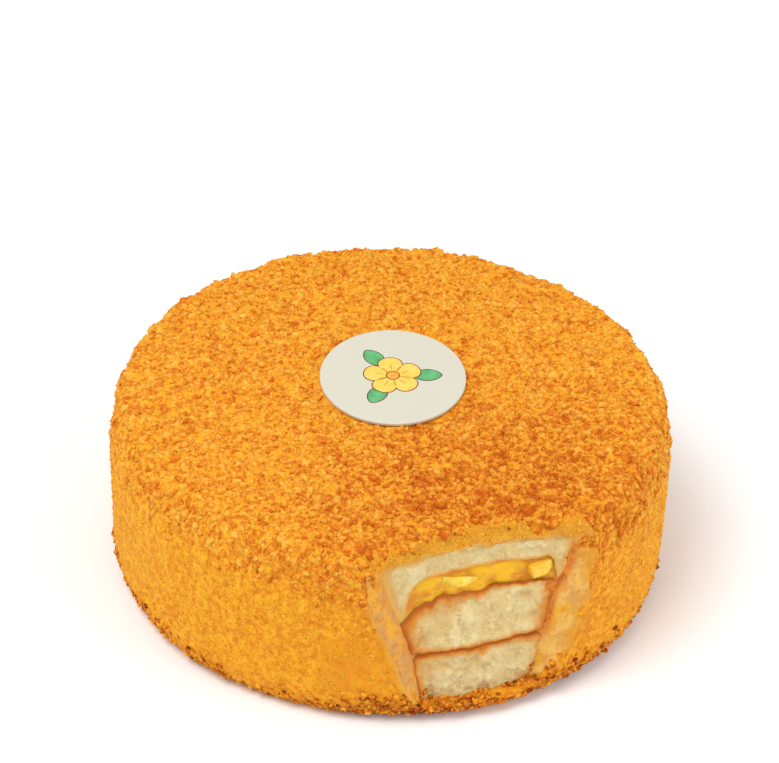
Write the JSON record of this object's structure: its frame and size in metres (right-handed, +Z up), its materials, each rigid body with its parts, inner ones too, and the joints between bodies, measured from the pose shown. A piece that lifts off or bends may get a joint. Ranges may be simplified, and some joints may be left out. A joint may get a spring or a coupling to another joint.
{
  "type": "mango cake",
  "caption": "Round mango cake in a coat of cream and cake crumbs, with a printed disc on top and a bite in its side that shows sponge and mango filling.",
  "frame": {"origin": "middle of the flat base", "axes": "+Z up out of the cake's top, -Y out of the middle of the bite"},
  "size_m": [0.1498, 0.1489, 0.0525],
  "materials": {
    "crumb_coat": "dry golden cake crumbs on cream",
    "sponge": "pale open sponge crumb with a browned skin",
    "filling": "glossy mango jam",
    "mango": "wet cut mango flesh",
    "disc": "matte wafer paper with a printed flower"
  },
  "bodies": {
    "root": {"crumb_coat": "crumb_coat", "sponge_bottom": "sponge", "sponge_middle": "sponge", "sponge_top": "sponge", "mango_filling": "filling", "mango_piece_left": "mango", "mango_piece_right": "mango", "topper_disc": "disc"}
  },
  "joints": []
}
